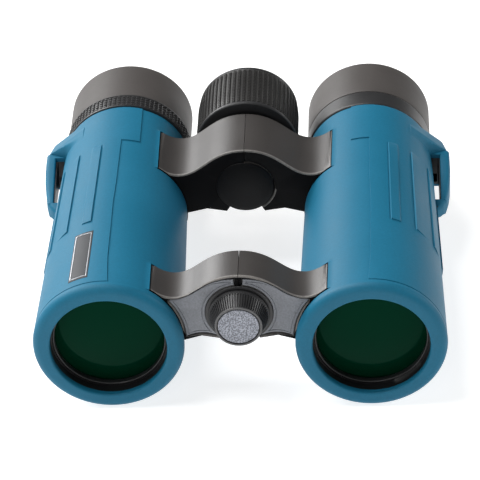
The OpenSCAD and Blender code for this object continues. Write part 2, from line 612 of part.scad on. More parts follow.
right_chassis();
left_chassis();
right_armour();
left_armour();
badge();
right_objective_retainer();
left_objective_retainer();
right_objective_crown();
left_objective_crown();
right_objective_flint();
left_objective_flint();
right_focus_cell();
left_focus_cell();
right_focus_lens();
left_focus_lens();
right_prism_cage();
left_prism_cage();
right_half_penta_prism();
left_half_penta_prism();
right_roof_prism();
left_roof_prism();
right_eyepiece_tube();
left_eyepiece_tube();
right_ocular_cell();
left_ocular_cell();
right_field_lens();
left_field_lens();
right_eye_lens();
left_eye_lens();
diopter_ring();
left_collar();
right_eyecup_cam_ring();
left_eyecup_cam_ring();
right_eyecup_sleeve();
left_eyecup_sleeve();
right_eyecup_rubber();
left_eyecup_rubber();
right_front_arm();
left_front_arm();
right_rear_arm();
left_rear_arm();
right_front_cover();
left_front_cover();
right_bridge_screws();
left_bridge_screws();
right_focus_arm();
left_focus_arm();
front_hinge_tube();
front_hinge_cap();
tripod_insert();
tripod_cap_washer();
tripod_cap();
tripod_cap_disc();
hinge_core();
rear_hinge_cap();
focus_spindle();
focus_nut();
focus_wheel();
focus_grip();
focus_end_cap();
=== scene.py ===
"""Open-bridge binoculars: rubber-armoured barrels, folding bridges, focus wheel and eyecups."""

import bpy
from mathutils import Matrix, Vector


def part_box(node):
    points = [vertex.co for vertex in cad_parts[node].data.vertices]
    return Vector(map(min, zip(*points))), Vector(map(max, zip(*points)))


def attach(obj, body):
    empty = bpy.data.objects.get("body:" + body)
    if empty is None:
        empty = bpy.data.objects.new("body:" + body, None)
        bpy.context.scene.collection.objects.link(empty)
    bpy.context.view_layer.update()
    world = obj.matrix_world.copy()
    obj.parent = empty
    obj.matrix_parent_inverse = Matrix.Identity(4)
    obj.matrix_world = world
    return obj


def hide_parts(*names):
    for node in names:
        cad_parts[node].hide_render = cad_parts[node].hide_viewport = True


bl_info = {
    "name": "Folding Binoculars",
    "version": (1, 0, 0),
    "blender": (4, 5, 0),
    "location": "View3D > Sidebar > Binoculars",
    "description": "Builds the visible surfaces of a pair of roof-prism binoculars",
    "category": "Add Mesh",
}

import math

import bmesh
import bpy
import numpy as np
from bpy.props import FloatProperty, FloatVectorProperty, IntProperty, PointerProperty
from mathutils import Matrix, Vector

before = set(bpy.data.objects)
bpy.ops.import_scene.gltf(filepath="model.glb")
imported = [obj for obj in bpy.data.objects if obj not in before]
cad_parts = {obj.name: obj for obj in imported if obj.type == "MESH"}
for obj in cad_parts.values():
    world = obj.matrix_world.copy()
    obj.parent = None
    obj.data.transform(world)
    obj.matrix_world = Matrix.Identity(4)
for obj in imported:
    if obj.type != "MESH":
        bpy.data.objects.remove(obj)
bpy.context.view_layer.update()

MM = 0.001
RIGHT, LEFT = -1, 1
SIDE_NAMES = {RIGHT: "right", LEFT: "left"}


def span(node, axis):
    """Lowest and highest coordinate of a CAD node along one axis, in millimetres."""
    low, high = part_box(node)
    return low[axis] / MM, high[axis] / MM


def middle(node, axis):
    """Middle of a CAD node along one axis, in millimetres."""
    return sum(span(node, axis)) / 2


def half_width(node):
    """Half of a CAD node's width in millimetres, which is the radius of a turned one."""
    low, high = span(node, 0)
    return (high - low) / 2


def behind_rim(node):
    """Where a CAD node starts and ends behind the front rims, in millimetres."""
    return [edge - FACE_Y for edge in span(node, 1)]


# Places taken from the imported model. Lengths along the barrels are measured from the front rims.
FACE_Y = span("left_armour", 1)[0]
BARREL_LENGTH = span("left_armour", 1)[1] - FACE_Y
AXIS_X = middle("left_eyepiece_tube", 0)
AXIS_Z = middle("left_eyepiece_tube", 2)
HINGE_Z = middle("front_hinge_tube", 2)
BARREL_R = AXIS_Z
TAPER = 0.0257
ARMOUR_T = 2.2
HOOD_R = BARREL_R - 5.1
RIM_ROUND = 2.6
FRONT_ARM = behind_rim("left_front_arm")
REAR_ARM = behind_rim("left_rear_arm")
LUG_OUT = span("left_armour", 0)[1] - AXIS_X


def armour_r(y):
    """Radius of the armour at a distance behind the front rim."""
    return BARREL_R - TAPER * y


LUG_BASE_R = armour_r(BARREL_LENGTH - 13)


# ---- surfaces ----
def grid(points, wrap_rows=True, wrap_columns=True):
    """Quads between neighbouring points of a rows x columns x 3 array; a wrapped direction joins
    its last line to its first."""
    rows, columns = points.shape[:2]
    i, j = np.meshgrid(
        np.arange(rows if wrap_rows else rows - 1),
        np.arange(columns if wrap_columns else columns - 1),
        indexing="ij",
    )
    next_i, next_j = (i + 1) % rows, (j + 1) % columns
    corners = [(i, j), (next_i, j), (next_i, next_j), (i, next_j)]
    quads = np.stack([row * columns + column for row, column in corners], axis=-1)
    return points.reshape(-1, 3), quads.reshape(-1, 4)


def joined(shells):
    """Several shells as one: all their points, with each shell's faces counted on."""
    starts = np.cumsum([0] + [len(points) for points, _ in shells[:-1]])
    points = np.concatenate([points for points, _ in shells])
    return points, np.concatenate([quads + start for (_, quads), start in zip(shells, starts)])


def swung(radius, angle, y):
    """Points round the Y axis, at an angle from straight up: x = radius sin(angle) and
    z = radius cos(angle)."""
    radius, angle, y = np.broadcast_arrays(radius, angle, y)
    return np.stack([radius * np.sin(angle), y, radius * np.cos(angle)], axis=-1)


def rounded(corners, closed=True, steps=4):
    """An outline whose corners (a, b, radius) are replaced by parabolic arcs: each arc leaves one
    side a radius before the corner, is drawn towards it, and joins the next side a radius after."""
    points = []
    count = len(corners)
    for k, (a, b, radius) in enumerate(corners):
        here = np.array([a, b], float)
        if radius <= 0 or (not closed and k in (0, count - 1)):
            points.append(here[None])
            continue
        before = np.array(corners[k - 1][:2], float) - here
        after = np.array(corners[(k + 1) % count][:2], float) - here
        start = here + before / np.linalg.norm(before) * radius
        end = here + after / np.linalg.norm(after) * radius
        t = np.linspace(0, 1, steps + 1)[:, None]
        points.append(start * (1 - t) ** 2 + 2 * here * t * (1 - t) + end * t**2)
    return np.concatenate(points)


def finer(outline, longest, closed=True):
    """The outline with extra points along every side that is longer than longest."""
    ends = np.roll(outline, -1, axis=0) if closed else outline[1:]
    pieces = []
    for start, end in zip(outline, ends):
        cuts = max(1, int(np.ceil(np.linalg.norm(end - start) / longest)))
        pieces.append(start + (end - start) * (np.arange(cuts) / cuts)[:, None])
    if not closed:
        pieces.append(outline[-1:])
    return np.concatenate(pieces)


def turned(outline, segments, closed=True):
    """Each outline point (radius, y) swings once round the Y axis, in equal steps."""
    angle = (np.arange(segments) / segments * 2 * np.pi)[:, None]
    return grid(swung(outline[:, 0], angle, outline[:, 1]), wrap_columns=closed)


def on_barrel(shell, side):
    """Moves a shell from a barrel's own axes, where +X points away from the hinge, to the row."""
    points = shell[0] * [side, 1, 1] + [side * AXIS_X, FACE_Y, AXIS_Z]
    return points, shell[1]


def on_hinge(shell):
    """Moves a shell from the hinge axis to the row."""
    return shell[0] + [0, FACE_Y, HINGE_Z], shell[1]


def placed(name, data):
    """A new object in the scene, at the origin."""
    obj = bpy.data.objects.new(name, data)
    bpy.context.scene.collection.objects.link(obj)
    return obj


def finished(name, mesh, body, made, replaces, sharp):
    mesh.shade_smooth()
    mesh.set_sharp_from_angle(angle=math.radians(sharp))
    obj = placed(name, mesh)
    mesh.materials.append(finish(made))
    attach(obj, body)
    if replaces:
        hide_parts(*replaces)
    return obj


def piece(name, shells, body, made, replaces=(), sharp=32):
    """A piece from shells in row millimetres: doubles merge at seams and poles, and every closed
    shell is turned outwards."""
    points, faces = joined(shells)
    mesh = bpy.data.meshes.new(name)
    mesh.from_pydata((points * MM).tolist(), [], faces.tolist())
    work = bmesh.new()
    work.from_mesh(mesh)
    bmesh.ops.remove_doubles(work, verts=work.verts, dist=2e-7)
    bmesh.ops.recalc_face_normals(work, faces=work.faces)
    work.to_mesh(mesh)
    work.free()
    return finished(name, mesh, body, made, replaces, sharp)


SHARP_EDGE = 28


def softened(node, body, made, slot, width, segments=2, others=(), shape=None):
    """A merged copy of a CAD node with its sharp edges rounded to the width in millimetres. others
    are further finishes, and shape(mesh in bmesh form) changes the copy and may use them."""
    work = bmesh.new()
    work.from_mesh(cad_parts[node].data)
    bmesh.ops.remove_doubles(work, verts=work.verts, dist=2e-6)
    bmesh.ops.dissolve_limit(
        work, angle_limit=math.radians(0.6), verts=work.verts, edges=work.edges, delimit={"NORMAL"}
    )
    if shape:
        shape(work)
    mesh = bpy.data.meshes.new(node + "_shape")
    work.to_mesh(mesh)
    work.free()
    obj = finished(node + "_shape", mesh, body, made, [node], SHARP_EDGE)
    for other in others:
        mesh.materials.append(finish(other))
    if width:
        bevel = obj.modifiers.new("rounded edges", "BEVEL")
        bevel.width = width * MM
        bevel.segments = segments
        bevel.limit_method = "ANGLE"
        bevel.angle_limit = math.radians(SHARP_EDGE)
        bevel.use_clamp_overlap = True
        bevel.harden_normals = True
    return obj


# ---- finishes ----
def shade(value, factor):
    """The colour made darker or lighter by a factor."""
    return tuple(min(1.0, channel * factor) for channel in value)


class Finish:
    """A material under construction: add() makes a node, sets its inputs and joins its sockets."""

    def __init__(self, name):
        self.material = bpy.data.materials.new(name)
        self.material.use_nodes = True
        self.tree = self.material.node_tree
        self.shader = self.tree.nodes["Principled BSDF"]
        self.place = self.add("ShaderNodeTexCoord").outputs["Object"]

    def add(self, kind, inputs=None, **settings):
        node = self.tree.nodes.new(kind)
        for key, value in settings.items():
            setattr(node, key, value)
        for key, value in (inputs or {}).items():
            if isinstance(value, bpy.types.NodeSocket):
                self.tree.links.new(value, node.inputs[key])
            else:
                node.inputs[key].default_value = value
        return node

    def noise(self, scale, detail=3.0, roughness=0.55, stretch=None):
        place = self.place
        if stretch:
            place = self.add("ShaderNodeMapping", {"Vector": place, "Scale": stretch}).outputs[0]
        return self.add(
            "ShaderNodeTexNoise",
            {"Vector": place, "Scale": scale, "Detail": detail, "Roughness": roughness},
        ).outputs["Fac"]

    def cells(self, scale):
        cells = self.add("ShaderNodeTexVoronoi", {"Vector": self.place, "Scale": scale})
        return cells.outputs["Distance"]

    def total(self, first, second):
        return self.add("ShaderNodeMath", {0: first, 1: second}, operation="ADD").outputs[0]

    def ramp(self, factor, low, high, stops):
        """Colours along a factor: stops are (place, colour), low and high the factor's range."""
        spread = self.spread(factor, low, high, 0.0, 1.0)
        node = self.add("ShaderNodeValToRGB", {"Fac": spread})
        elements = node.color_ramp.elements
        while len(elements) < len(stops):
            elements.new(0.5)
        for element, (place, tint) in zip(elements, stops):
            element.position = place
            element.color = (*tint, 1.0)
        return node.outputs["Color"]

    def spread(self, factor, low, high, to_low, to_high):
        ranges = {"From Min": low, "From Max": high, "To Min": to_low, "To Max": to_high}
        return self.add("ShaderNodeMapRange", {"Value": factor, **ranges}).outputs["Result"]

    def bump(self, heights, depth):
        """Bump from several (height socket, share) pairs: each lifts the surface by its share of
        the depth in millimetres."""
        normal = None
        for height, share in heights:
            inputs = {"Height": height, "Distance": depth * share * MM, "Strength": 1.0}
            if normal:
                inputs["Normal"] = normal
            normal = self.add("ShaderNodeBump", inputs).outputs["Normal"]
        self.tree.links.new(normal, self.shader.inputs["Normal"])

    def set(self, **inputs):
        for key, value in inputs.items():
            socket = self.shader.inputs[key.replace("_", " ")]
            if isinstance(value, bpy.types.NodeSocket):
                self.tree.links.new(value, socket)
            else:
                socket.default_value = value
        return self.material


def moulded(name, tint, rough, grain, depth, mottle, metal=0.0, blotch=60, gloss=0.5):
    """Moulded rubber, plastic or paint: slow and fast noise vary its colour and roughness, and a
    fine pebble of noise and cells lifts its surface."""
    made = Finish(name)
    slow, fast = made.noise(blotch, 4.0), made.noise(grain, 2.0)
    tone = made.total(slow, fast)
    tones = [(0.0, shade(tint, 1 - mottle)), (0.55, tuple(tint)), (1.0, shade(tint, 1 + mottle))]
    made.set(
        Base_Color=made.ramp(tone, 0.7, 1.3, tones),
        Roughness=made.spread(slow, 0.3, 0.7, max(0.02, rough - 0.06), min(1.0, rough + 0.06)),
        Metallic=metal,
        Specular_IOR_Level=gloss,
    )
    pebble = made.cells(grain * 0.8)
    made.bump([(slow, 3.0), (fast, 0.6), (pebble, 1.0)], depth)
    return made.material


def turned_metal(name, tint, rough):
    """Machined metal: fine rings across the Y axis with a little tarnish."""
    made = Finish(name)
    lines = made.noise(900, 2.0, stretch=(0.05, 1.0, 0.05))
    stain = made.noise(120, 5.0)
    tones = [(0.0, shade(tint, 0.72)), (0.6, tuple(tint)), (1.0, shade(tint, 1.1))]
    made.set(
        Base_Color=made.ramp(stain, 0.3, 0.7, tones),
        Metallic=1.0,
        Roughness=made.spread(lines, 0.3, 0.7, rough - 0.08, rough + 0.1),
    )
    made.bump([(lines, 1.0)], 0.01)
    return made.material


def coated_glass(name, tint, painted_sheen_tint):
    """Coated optical glass: dark body, a clear reflection, and a base colour that turns to a
    lighter tint towards grazing angles, a painted sheen of the coating's reflection, and faint
    unevenness in the coating."""
    made = Finish(name)
    cloud = made.noise(40, 2.0)
    grazing_sheen = made.add("ShaderNodeLayerWeight", {"Blend": 0.35}).outputs["Facing"]
    tones = [(0.0, tuple(tint)), (0.6, shade(tint, 0.8)), (1.0, painted_sheen_tint)]
    made.set(
        Base_Color=made.ramp(grazing_sheen, 0.0, 1.0, tones),
        Roughness=made.spread(cloud, 0.3, 0.7, 0.03, 0.08),
        IOR=1.45,
        Specular_IOR_Level=0.08,
        Specular_Tint=(0.15, 1.0, 0.6, 1.0),
    )
    return made.material


def speckled(name, tint):
    """Speckled foil: bright and dark flakes a fraction of a millimetre across."""
    made = Finish(name)
    flakes = made.cells(2600)
    cloud = made.noise(1500, 3.0)
    steps = ((0.0, 0.45), (0.45, 1.0), (0.75, 1.5), (1.0, 2.3))
    tones = [(place, shade(tint, factor)) for place, factor in steps]
    made.set(
        Base_Color=made.ramp(made.total(flakes, cloud), 0.55, 1.2, tones),
        Metallic=0.35,
        Roughness=made.spread(cloud, 0.3, 0.7, 0.35, 0.6),
    )
    made.bump([(flakes, 1.0), (cloud, 1.0)], 0.03)
    return made.material


# ---- sizes and colours ----
def property_maker(kind, **limits):
    """Makes properties of one kind, each from its name, description and default."""

    def made(name, description, default):
        return kind(name=name, description=description, default=default, **limits)

    return made


length = property_maker(FloatProperty, min=0.0, max=0.02, unit="LENGTH", precision=5)
number = property_maker(IntProperty, min=20, max=120)
tint = property_maker(FloatVectorProperty, subtype="COLOR", size=3, min=0.0, max=1.0)


class BinocularSizes(bpy.types.PropertyGroup):
    panel_step: length("Panel step", "Height of the outer panel over the inner one", 0.00035)
    rib_height: length("Rib height", "Height of the grip ribs", 0.00045)
    rib_reach: length("Rib ramp", "Width over which a rib slopes away", 0.0042)
    rim_groove: length("Rim groove", "Depth of the fine groove behind the front rim", 0.00024)
    wheel_pips: number("Wheel pips", "Pips round the wheel", 61)
    wheel_pip_depth: length("Wheel pip height", "Height of the focus wheel's pips", 0.0005)
    ring_pips: number("Ring pips", "Pips round the dioptre ring", 84)
    ring_pip_depth: length("Ring pip height", "Height of the dioptre ring's pips", 0.0004)
    cap_ridges: number("Cap ridges", "Ridges round the cap", 66)
    cap_ridge_depth: length("Cap ridge height", "Height of the socket cap's ridges", 0.0004)
    arm_edge: length("Arm edge", "Rounding of the bridge arms' edges", 0.00055)


class BinocularColours(bpy.types.PropertyGroup):
    armour: tint("Armour", "Rubber armour", (0.006, 0.125, 0.215))
    bridge: tint("Bridge", "Satin paint of the bridge arms", (0.036, 0.032, 0.03))
    # Painted shade: the arms' forward-facing flat fronts are darkened far below the arm's paint,
    # and the tab gaps use the same dark.
    front: tint("Bridge front", "Black front faces of the bridge", (0.0015, 0.0015, 0.002))
    # Painted highlight: a light colour for the upper front edges of the bridge arms.
    bridge_edge: tint("Bridge edge", "Rough edge of the bridge arms", (0.16, 0.15, 0.14))
    cover: tint("Cover", "Rough plates on the front bridge", (0.2, 0.21, 0.232))
    disc: tint("Disc", "Speckled disc of the socket cap", (0.15, 0.158, 0.18))
    eyecup: tint("Eyecup", "Eyecup rubber", (0.058, 0.052, 0.049))
    grip: tint("Grip", "Focus wheel rubber", (0.032, 0.031, 0.03))
    plastic: tint("Plastic", "Black moulded parts", (0.02, 0.02, 0.021))
    chassis: tint("Chassis", "Blackened insides", (0.006, 0.006, 0.007))
    badge: tint("Badge", "Badge plate", (0.03, 0.032, 0.036))
    glass: tint("Glass", "Coated objective glass", (0.0005, 0.02, 0.009))


# Name of the finish: material, colour or the name of its property, roughness, grain, depth, mottle
# and what differs from moulded()'s usual values.
MOULDED = {
    "armour": ("armour_rubber", "armour", 0.55, 1500, 0.012, 0.07, {"blotch": 35, "gloss": 0.26}),
    "bridge": ("bridge_paint", "bridge", 0.45, 1800, 0.012, 0.08, {"blotch": 50, "gloss": 0.75}),
    # front: painted shade, near black, for the arms' flat fronts and the bottoms of the tab gaps.
    "front": ("black_front", "front", 0.6, 1600, 0.012, 0.1, {"gloss": 0.1}),
    "hinge_plastic": (
        "hinge_plastic", (0.003, 0.003, 0.0035), 0.5, 1600, 0.01, 0.1, {"gloss": 0.12}
    ),
    # The ring round the socket cap's disc: the flange's grey, lightened into a painted edge
    # highlight.
    "cap_rim": ("cap_rim", (0.09, 0.09, 0.092), 0.4, 1800, 0.02, 0.2, {}),
    # Painted highlight along the arms' upper front edges.
    "bridge_edge": ("bridge_edge_paint", "bridge_edge", 0.55, 1300, 0.05, 0.25, {}),
    "cover": ("rough_cover", "cover", 0.62, 1700, 0.07, 0.18, {"blotch": 150}),
    "eyecup": ("eyecup_rubber", "eyecup", 0.55, 1500, 0.012, 0.06, {"gloss": 0.4}),
    "grip": ("grip_rubber", "grip", 0.45, 1500, 0.015, 0.12, {}),
    "plastic": ("black_plastic", "plastic", 0.4, 1600, 0.014, 0.1, {}),
    "chassis": ("blackened_metal", "chassis", 0.42, 1400, 0.01, 0.2, {}),
    "badge": ("badge_plate", "badge", 0.45, 2000, 0.006, 0.08, {"metal": 0.2, "gloss": 0.3}),
    "badge_line": ("badge_line", (0.5, 0.52, 0.55), 0.35, 2000, 0.006, 0.1, {"metal": 0.7}),
}
TURNED = {
    "steel": ((0.5, 0.49, 0.47), 0.32),
    "alloy": ((0.42, 0.43, 0.45), 0.4),
    "brass": ((0.6, 0.4, 0.15), 0.3),
}
FINISHES = {}


def finish(name):
    """The material of that name, made on first use from the colours."""
    if name not in FINISHES:
        colours = bpy.context.scene.binocular_colours
        if name in MOULDED:
            material, colour, *values, extra = MOULDED[name]
            colour = getattr(colours, colour) if isinstance(colour, str) else colour
            FINISHES[name] = moulded(material, colour, *values, **extra)
        elif name in TURNED:
            FINISHES[name] = turned_metal(name, *TURNED[name])
        elif name == "disc":
            FINISHES[name] = speckled("speckled_disc", colours.disc)
        elif name == "glass":
            # The last colour is the glass's painted sheen at grazing angles.
            FINISHES[name] = coated_glass("objective_glass", colours.glass, (0.02, 0.06, 0.05))
        else:
            FINISHES[name] = coated_glass("prism_glass", (0.03, 0.035, 0.04), (0.1, 0.12, 0.13))
    return FINISHES[name]


# ---- armour ----
RIB_ANGLES = (17.0, 39.5, 62.0, 84.5)
RIB_START = BARREL_LENGTH - 64.0
RIB_ENDS = [BARREL_LENGTH - 21.0] * 3 + [BARREL_LENGTH - 30.5]
RIB_FOOT_DEPTH, RIB_FOOT_ANGLE = 0.22, 0.6
FIRST_RIB_WIDTH, FIRST_RIB_RAMP = 2.95, 9.0
RIM_GROOVE = (3.35, 3.67)
FOOT_PAD, FOOT_ANGLE = (2.5, 14.15), 159.0
SEAT_GAP = 0.3
EDGE_SOFT, SEAT_SOFT = 0.14, 0.09
PANEL_TURN_Y = BARREL_LENGTH - 19.6
PANEL_REAR_ANGLE = -16.5
PANEL_UNDER_ANGLE = 168.0
SADDLE_ANGLES = (-100.6, -34.9)
TAB_ANGLE = -36.0
SLOT = (BARREL_LENGTH - 23.95, BARREL_LENGTH - 8.05)
WING_FRONT = BARREL_LENGTH - 11.4
WING_START, WING_END, WING_BEVEL, WING_UNDER = 40.0, 108.0, 73.5, 126.0
WING_BEVEL_RISE, WING_SWEEP, WING_SWEEP_ANGLE, WING_RAMP = 2.6, 3.6, 38.0, 1.6
INNER_STEPS = [90.3, 69.3, 40.0, 17.7, 4.6, 1.8]
LEAN_AT, LEAN = [0, 16, 28, 44, 57], [-2.6, -0.1, 0.1, 0.7, 0.0]
LEAN_FADE = 12


def rise(distance, width=0.1):
    """0 before an edge and 1 after it, straight between, over twice the width."""
    return np.clip(distance / (2 * width) + 0.5, 0, 1)


def within(value, low, high, width=0.05):
    """1 between two edges and 0 outside them."""
    return rise(value - low, width) * rise(high - value, width)


def wing_r(angle):
    """Radius of the wing's section at an angle from straight up: the nearest of a plane that
    touches the barrel where the wing starts, an upright outer face, the bevel between them, and a
    face that runs back underneath."""
    a = np.radians(angle)
    tangent = LUG_BASE_R / np.maximum(np.cos(a - np.radians(WING_START)), 0.05)
    outer = LUG_OUT / np.maximum(np.sin(a), 0.05)
    tilt = np.radians(90 - WING_BEVEL)
    bevel = LUG_OUT * np.cos(tilt) + WING_BEVEL_RISE * np.sin(tilt)
    slope = bevel / np.maximum(np.cos(a - np.radians(WING_BEVEL)), 0.05)
    under = LUG_BASE_R / np.maximum(np.cos(a - np.radians(WING_UNDER)), 0.02)
    under = under * np.cos(np.radians(WING_UNDER - WING_END))
    reach = np.minimum(np.minimum(tangent, outer), np.minimum(slope, under))
    return np.where((angle > WING_START) & (angle < WING_END), reach, 0)


def armour_angles():
    """Angles of the armour's long grid lines: even, with close lines beside each edge."""
    edges = [0, PANEL_REAR_ANGLE, PANEL_UNDER_ANGLE, *RIB_ANGLES, RIB_ANGLES[0] + 8.2]
    lines = [np.arange(-180, 180, 2.5)]
    for offset in (-1.3, -0.75, -EDGE_SOFT, EDGE_SOFT, 0.6):
        lines.append(np.array(edges) + offset)
    for offset in (-SEAT_SOFT, SEAT_SOFT):
        lines.append(np.array([*SADDLE_ANGLES, FOOT_ANGLE, -FOOT_ANGLE]) + offset)
    lines.append(np.linspace(72, WING_END, 19))
    angles = np.unique(np.round(np.concatenate(lines), 3))
    return angles[np.append(True, np.diff(angles) > 0.1)]


def armour_lengths():
    """Distances from the front rim of the armour's outer grid lines: even, with close lines at the
    rim's groove, the end of the foot pad, every edge and the wing."""
    edges = [*FRONT_ARM, *REAR_ARM, RIB_START, RIB_ENDS[0], RIB_ENDS[3], PANEL_TURN_Y]
    shift = np.array([-SEAT_GAP, SEAT_GAP, -SEAT_GAP, SEAT_GAP, 0, 0, 0, 0])
    lines = [np.arange(RIM_ROUND, BARREL_LENGTH - 0.8, 2.4)]
    lines.append([3.3, 3.4, 3.62, 3.72, 4.1, 14.0, 14.3])
    for offset in (-0.45, -0.05, 0.05, 0.45):
        lines.append(np.array(edges) + shift + offset)
    lines.append(np.arange(WING_FRONT - 1, WING_FRONT + 8, 0.4))
    lengths = np.unique(np.round(np.concatenate(lines), 3))
    return lengths[np.append(True, np.diff(lengths) > 0.06)]


def armour_relief(u, y, sizes):
    """Height of the armour over its plain cone at canonical angle u and length y: a lower inner
    panel, ribs that rise at a wall and slope away outwards, a groove behind the rim, deep seats for
    the bridge arms, and a wing behind the strap slot."""
    base = armour_r(y)
    edge = np.where(y > PANEL_TURN_Y, PANEL_REAR_ANGLE, 0.0)
    raised = rise(u - edge, EDGE_SOFT) * rise(PANEL_UNDER_ANGLE - u, EDGE_SOFT)
    height = -sizes.panel_step / MM * (1 - raised) * rise(y - 3.55, 0.1)
    for k, (angle, end) in enumerate(zip(RIB_ANGLES, RIB_ENDS)):
        arc = np.radians(u - angle) * base
        along = rise(y - RIB_START, 0.05) * np.clip((end - y) / 2.0, 0, 1)
        slope = np.clip(1 - arc / (sizes.rib_reach / MM), 0, 1)
        if k == 0:
            slope = np.clip(1 - arc / FIRST_RIB_RAMP, 0, 1) * rise(FIRST_RIB_WIDTH - arc, 0.06)
        height = height + sizes.rib_height / MM * slope * rise(u - angle, EDGE_SOFT) * along
        foot = np.clip(1 - np.abs(u - angle + RIB_FOOT_ANGLE) / RIB_FOOT_ANGLE, 0, 1)
        height = height - RIB_FOOT_DEPTH * foot * along
    height = height - sizes.rim_groove / MM * within(y, *RIM_GROOVE)
    pad = within(y, *FOOT_PAD, 0.15) * rise(np.abs(u) - FOOT_ANGLE, SEAT_SOFT)
    height = np.where(pad > 0, np.maximum(height, pad * (BARREL_R - base)), height)
    saddle = within(u, *SADDLE_ANGLES, SEAT_SOFT)
    for front, rear in (FRONT_ARM, REAR_ARM):
        seat = saddle * within(y, front - SEAT_GAP, rear + SEAT_GAP)
        height = np.where(seat > 0, -seat * (ARMOUR_T - 0.1), height)
    start = WING_FRONT + np.clip((u - WING_START) / WING_SWEEP_ANGLE, 0, 1) * WING_SWEEP
    fold = np.clip((y - start) / WING_RAMP, 0, 1)
    tail = 1 - 0.06 * np.clip((y - BARREL_LENGTH + 6) / 6, 0, 1)
    lift = np.maximum(wing_r(u) * tail - base, 0)
    return height + lift * fold


def armour_shell(side, sizes):
    """One barrel's armour as a closed sleeve. Its long grid lines lie at canonical angles that lean
    with the panel's edge; its profile runs from the lip over the rim, back along the outside with
    the relief added, round the rear edge and forward again beside the chassis."""
    u = armour_angles()[:, None]
    lip = [(HOOD_R, 1.8, 0), (HOOD_R, 0.0, 0.75), (BARREL_R - RIM_ROUND, 0.0, 0)]
    rim = rounded(lip, closed=False, steps=6)
    arc = np.radians(np.arange(10, 90, 8))
    corner_r = BARREL_R - RIM_ROUND + RIM_ROUND * np.sin(arc)
    corner_y = RIM_ROUND - RIM_ROUND * np.cos(arc)
    y = armour_lengths()
    end = np.array([-0.45, -0.15, 0.0]) + BARREL_LENGTH
    drop = np.array([0.03, 0.18, 0.5])
    outer_y = np.concatenate([y[y < end[0] - 0.1], end])[None, :]
    outer_r = armour_r(outer_y) + armour_relief(u, outer_y, sizes)
    outer_r[:, -3:] -= drop
    inner_y = np.array([BARREL_LENGTH, *INNER_STEPS])
    inner_r = armour_r(inner_y) - ARMOUR_T + 0.01
    before, after = (
        np.repeat(radii[None], len(u), 0) for radii in (np.append(rim[:, 0], corner_r), inner_r)
    )
    radius = np.concatenate([before, outer_r, after], axis=1)
    y = np.concatenate([rim[:, 1], corner_y, outer_y[0], inner_y])[None, :]
    lean = np.interp(y, LEAN_AT, LEAN) * np.clip(1 - np.abs(u) / LEAN_FADE, 0, 1)
    return on_barrel(grid(swung(radius, np.radians(u + lean), y)), side)


def lug_bar(side):
    """The outer bar of the strap lug: a rounded rectangle between x_in and x_out and between z_low
    and z_top is carried back along the barrel, and its inner face steps in at both ends of the
    slot."""
    stations = np.array(
        [-29.2, -27.6, -26, -24.6, -23.97, -23.93, -20, -16, -12.5, -10, -8.07, -8.03, -7.2, -6.4]
    )
    y = BARREL_LENGTH + stations
    proud_at = [-29.2, -28.0, -26, -23.6, -18, -13, -6]
    x_out = np.interp(stations, proud_at, [-0.6, 0.2, 2.6, 4.0, 5.1, 5.35, 5.2]) + LUG_BASE_R
    inside = (stations > -23.95) & (stations < -8.05)
    x_in = np.where(inside, LUG_BASE_R + 2.2, LUG_BASE_R - 3.0)
    x_in = np.minimum(x_in, x_out - 1.0)
    top_at, top = [-29.2, -26, -23.6, -16, -9.4, -6], [-2.6, -1.2, -0.4, 2.3, 5.4, 6.0]
    z_top = np.interp(stations, top_at, top)
    z_low = np.interp(stations, [-29.2, -26, -23, -6], [-4.6, -6.0, -6.4, -6.5])
    bend = np.minimum(1.25, 0.45 * np.minimum(x_out - x_in, z_top - z_low))
    loop_x, loop_z = [], []
    for first, out, up in ((0, 1, 1), (90, -1, 1), (180, -1, -1), (270, 1, -1)):
        turn = np.radians(first + np.linspace(0, 90, 7))
        edge_x, small = (x_out, bend) if out > 0 else (x_in, 0.45 * bend)
        edge_z = z_top if up > 0 else z_low
        loop_x.append((edge_x - out * small)[:, None] + small[:, None] * np.cos(turn))
        loop_z.append((edge_z - up * small)[:, None] + small[:, None] * np.sin(turn))
    x, z = np.concatenate(loop_x, axis=1), np.concatenate(loop_z, axis=1)
    points = np.stack([x, y[:, None] + 0 * x, z], axis=-1)
    middles = points.mean(axis=1, keepdims=True) + 0 * points
    points = np.concatenate([middles[:1], points, middles[-1:]])
    return on_barrel(grid(points, wrap_rows=False), side)


def slot_lining(side):
    """The black lining of the strap slot: a thin upright band along the bar's inner face and round
    both ends of the slot, an oblong ring between two offsets of the slot's outline."""
    root = LUG_BASE_R - 0.4

    def band(reach, first, last, bend):
        corners = [(root, first, 0), (reach, first, bend), (reach, last, bend), (root, last, 0)]
        return rounded(corners, closed=False)

    first, last = SLOT[0] + 0.35, SLOT[1] - 0.35
    inner = band(LUG_BASE_R + 1.85, first, last, 0.5)
    outer = band(LUG_BASE_R + 2.3, first - 0.5, last + 0.5, 0.7)
    low = -5.4 + 0 * inner[:, 1]
    high = np.interp(inner[:, 1], [SLOT[0], SLOT[0] + 8, SLOT[1]], [-1.2, 1.3, 4.4])
    rings = [(inner, low), (inner, high), (outer, high), (outer, low)]
    points = np.stack([np.column_stack([outline, z]) for outline, z in rings], axis=1)
    ends = [points[:1] * 0 + points[k].mean(axis=0) for k in (0, -1)]
    points = np.concatenate([ends[0], points, ends[1]])
    return on_barrel(grid(points, wrap_rows=False), side)


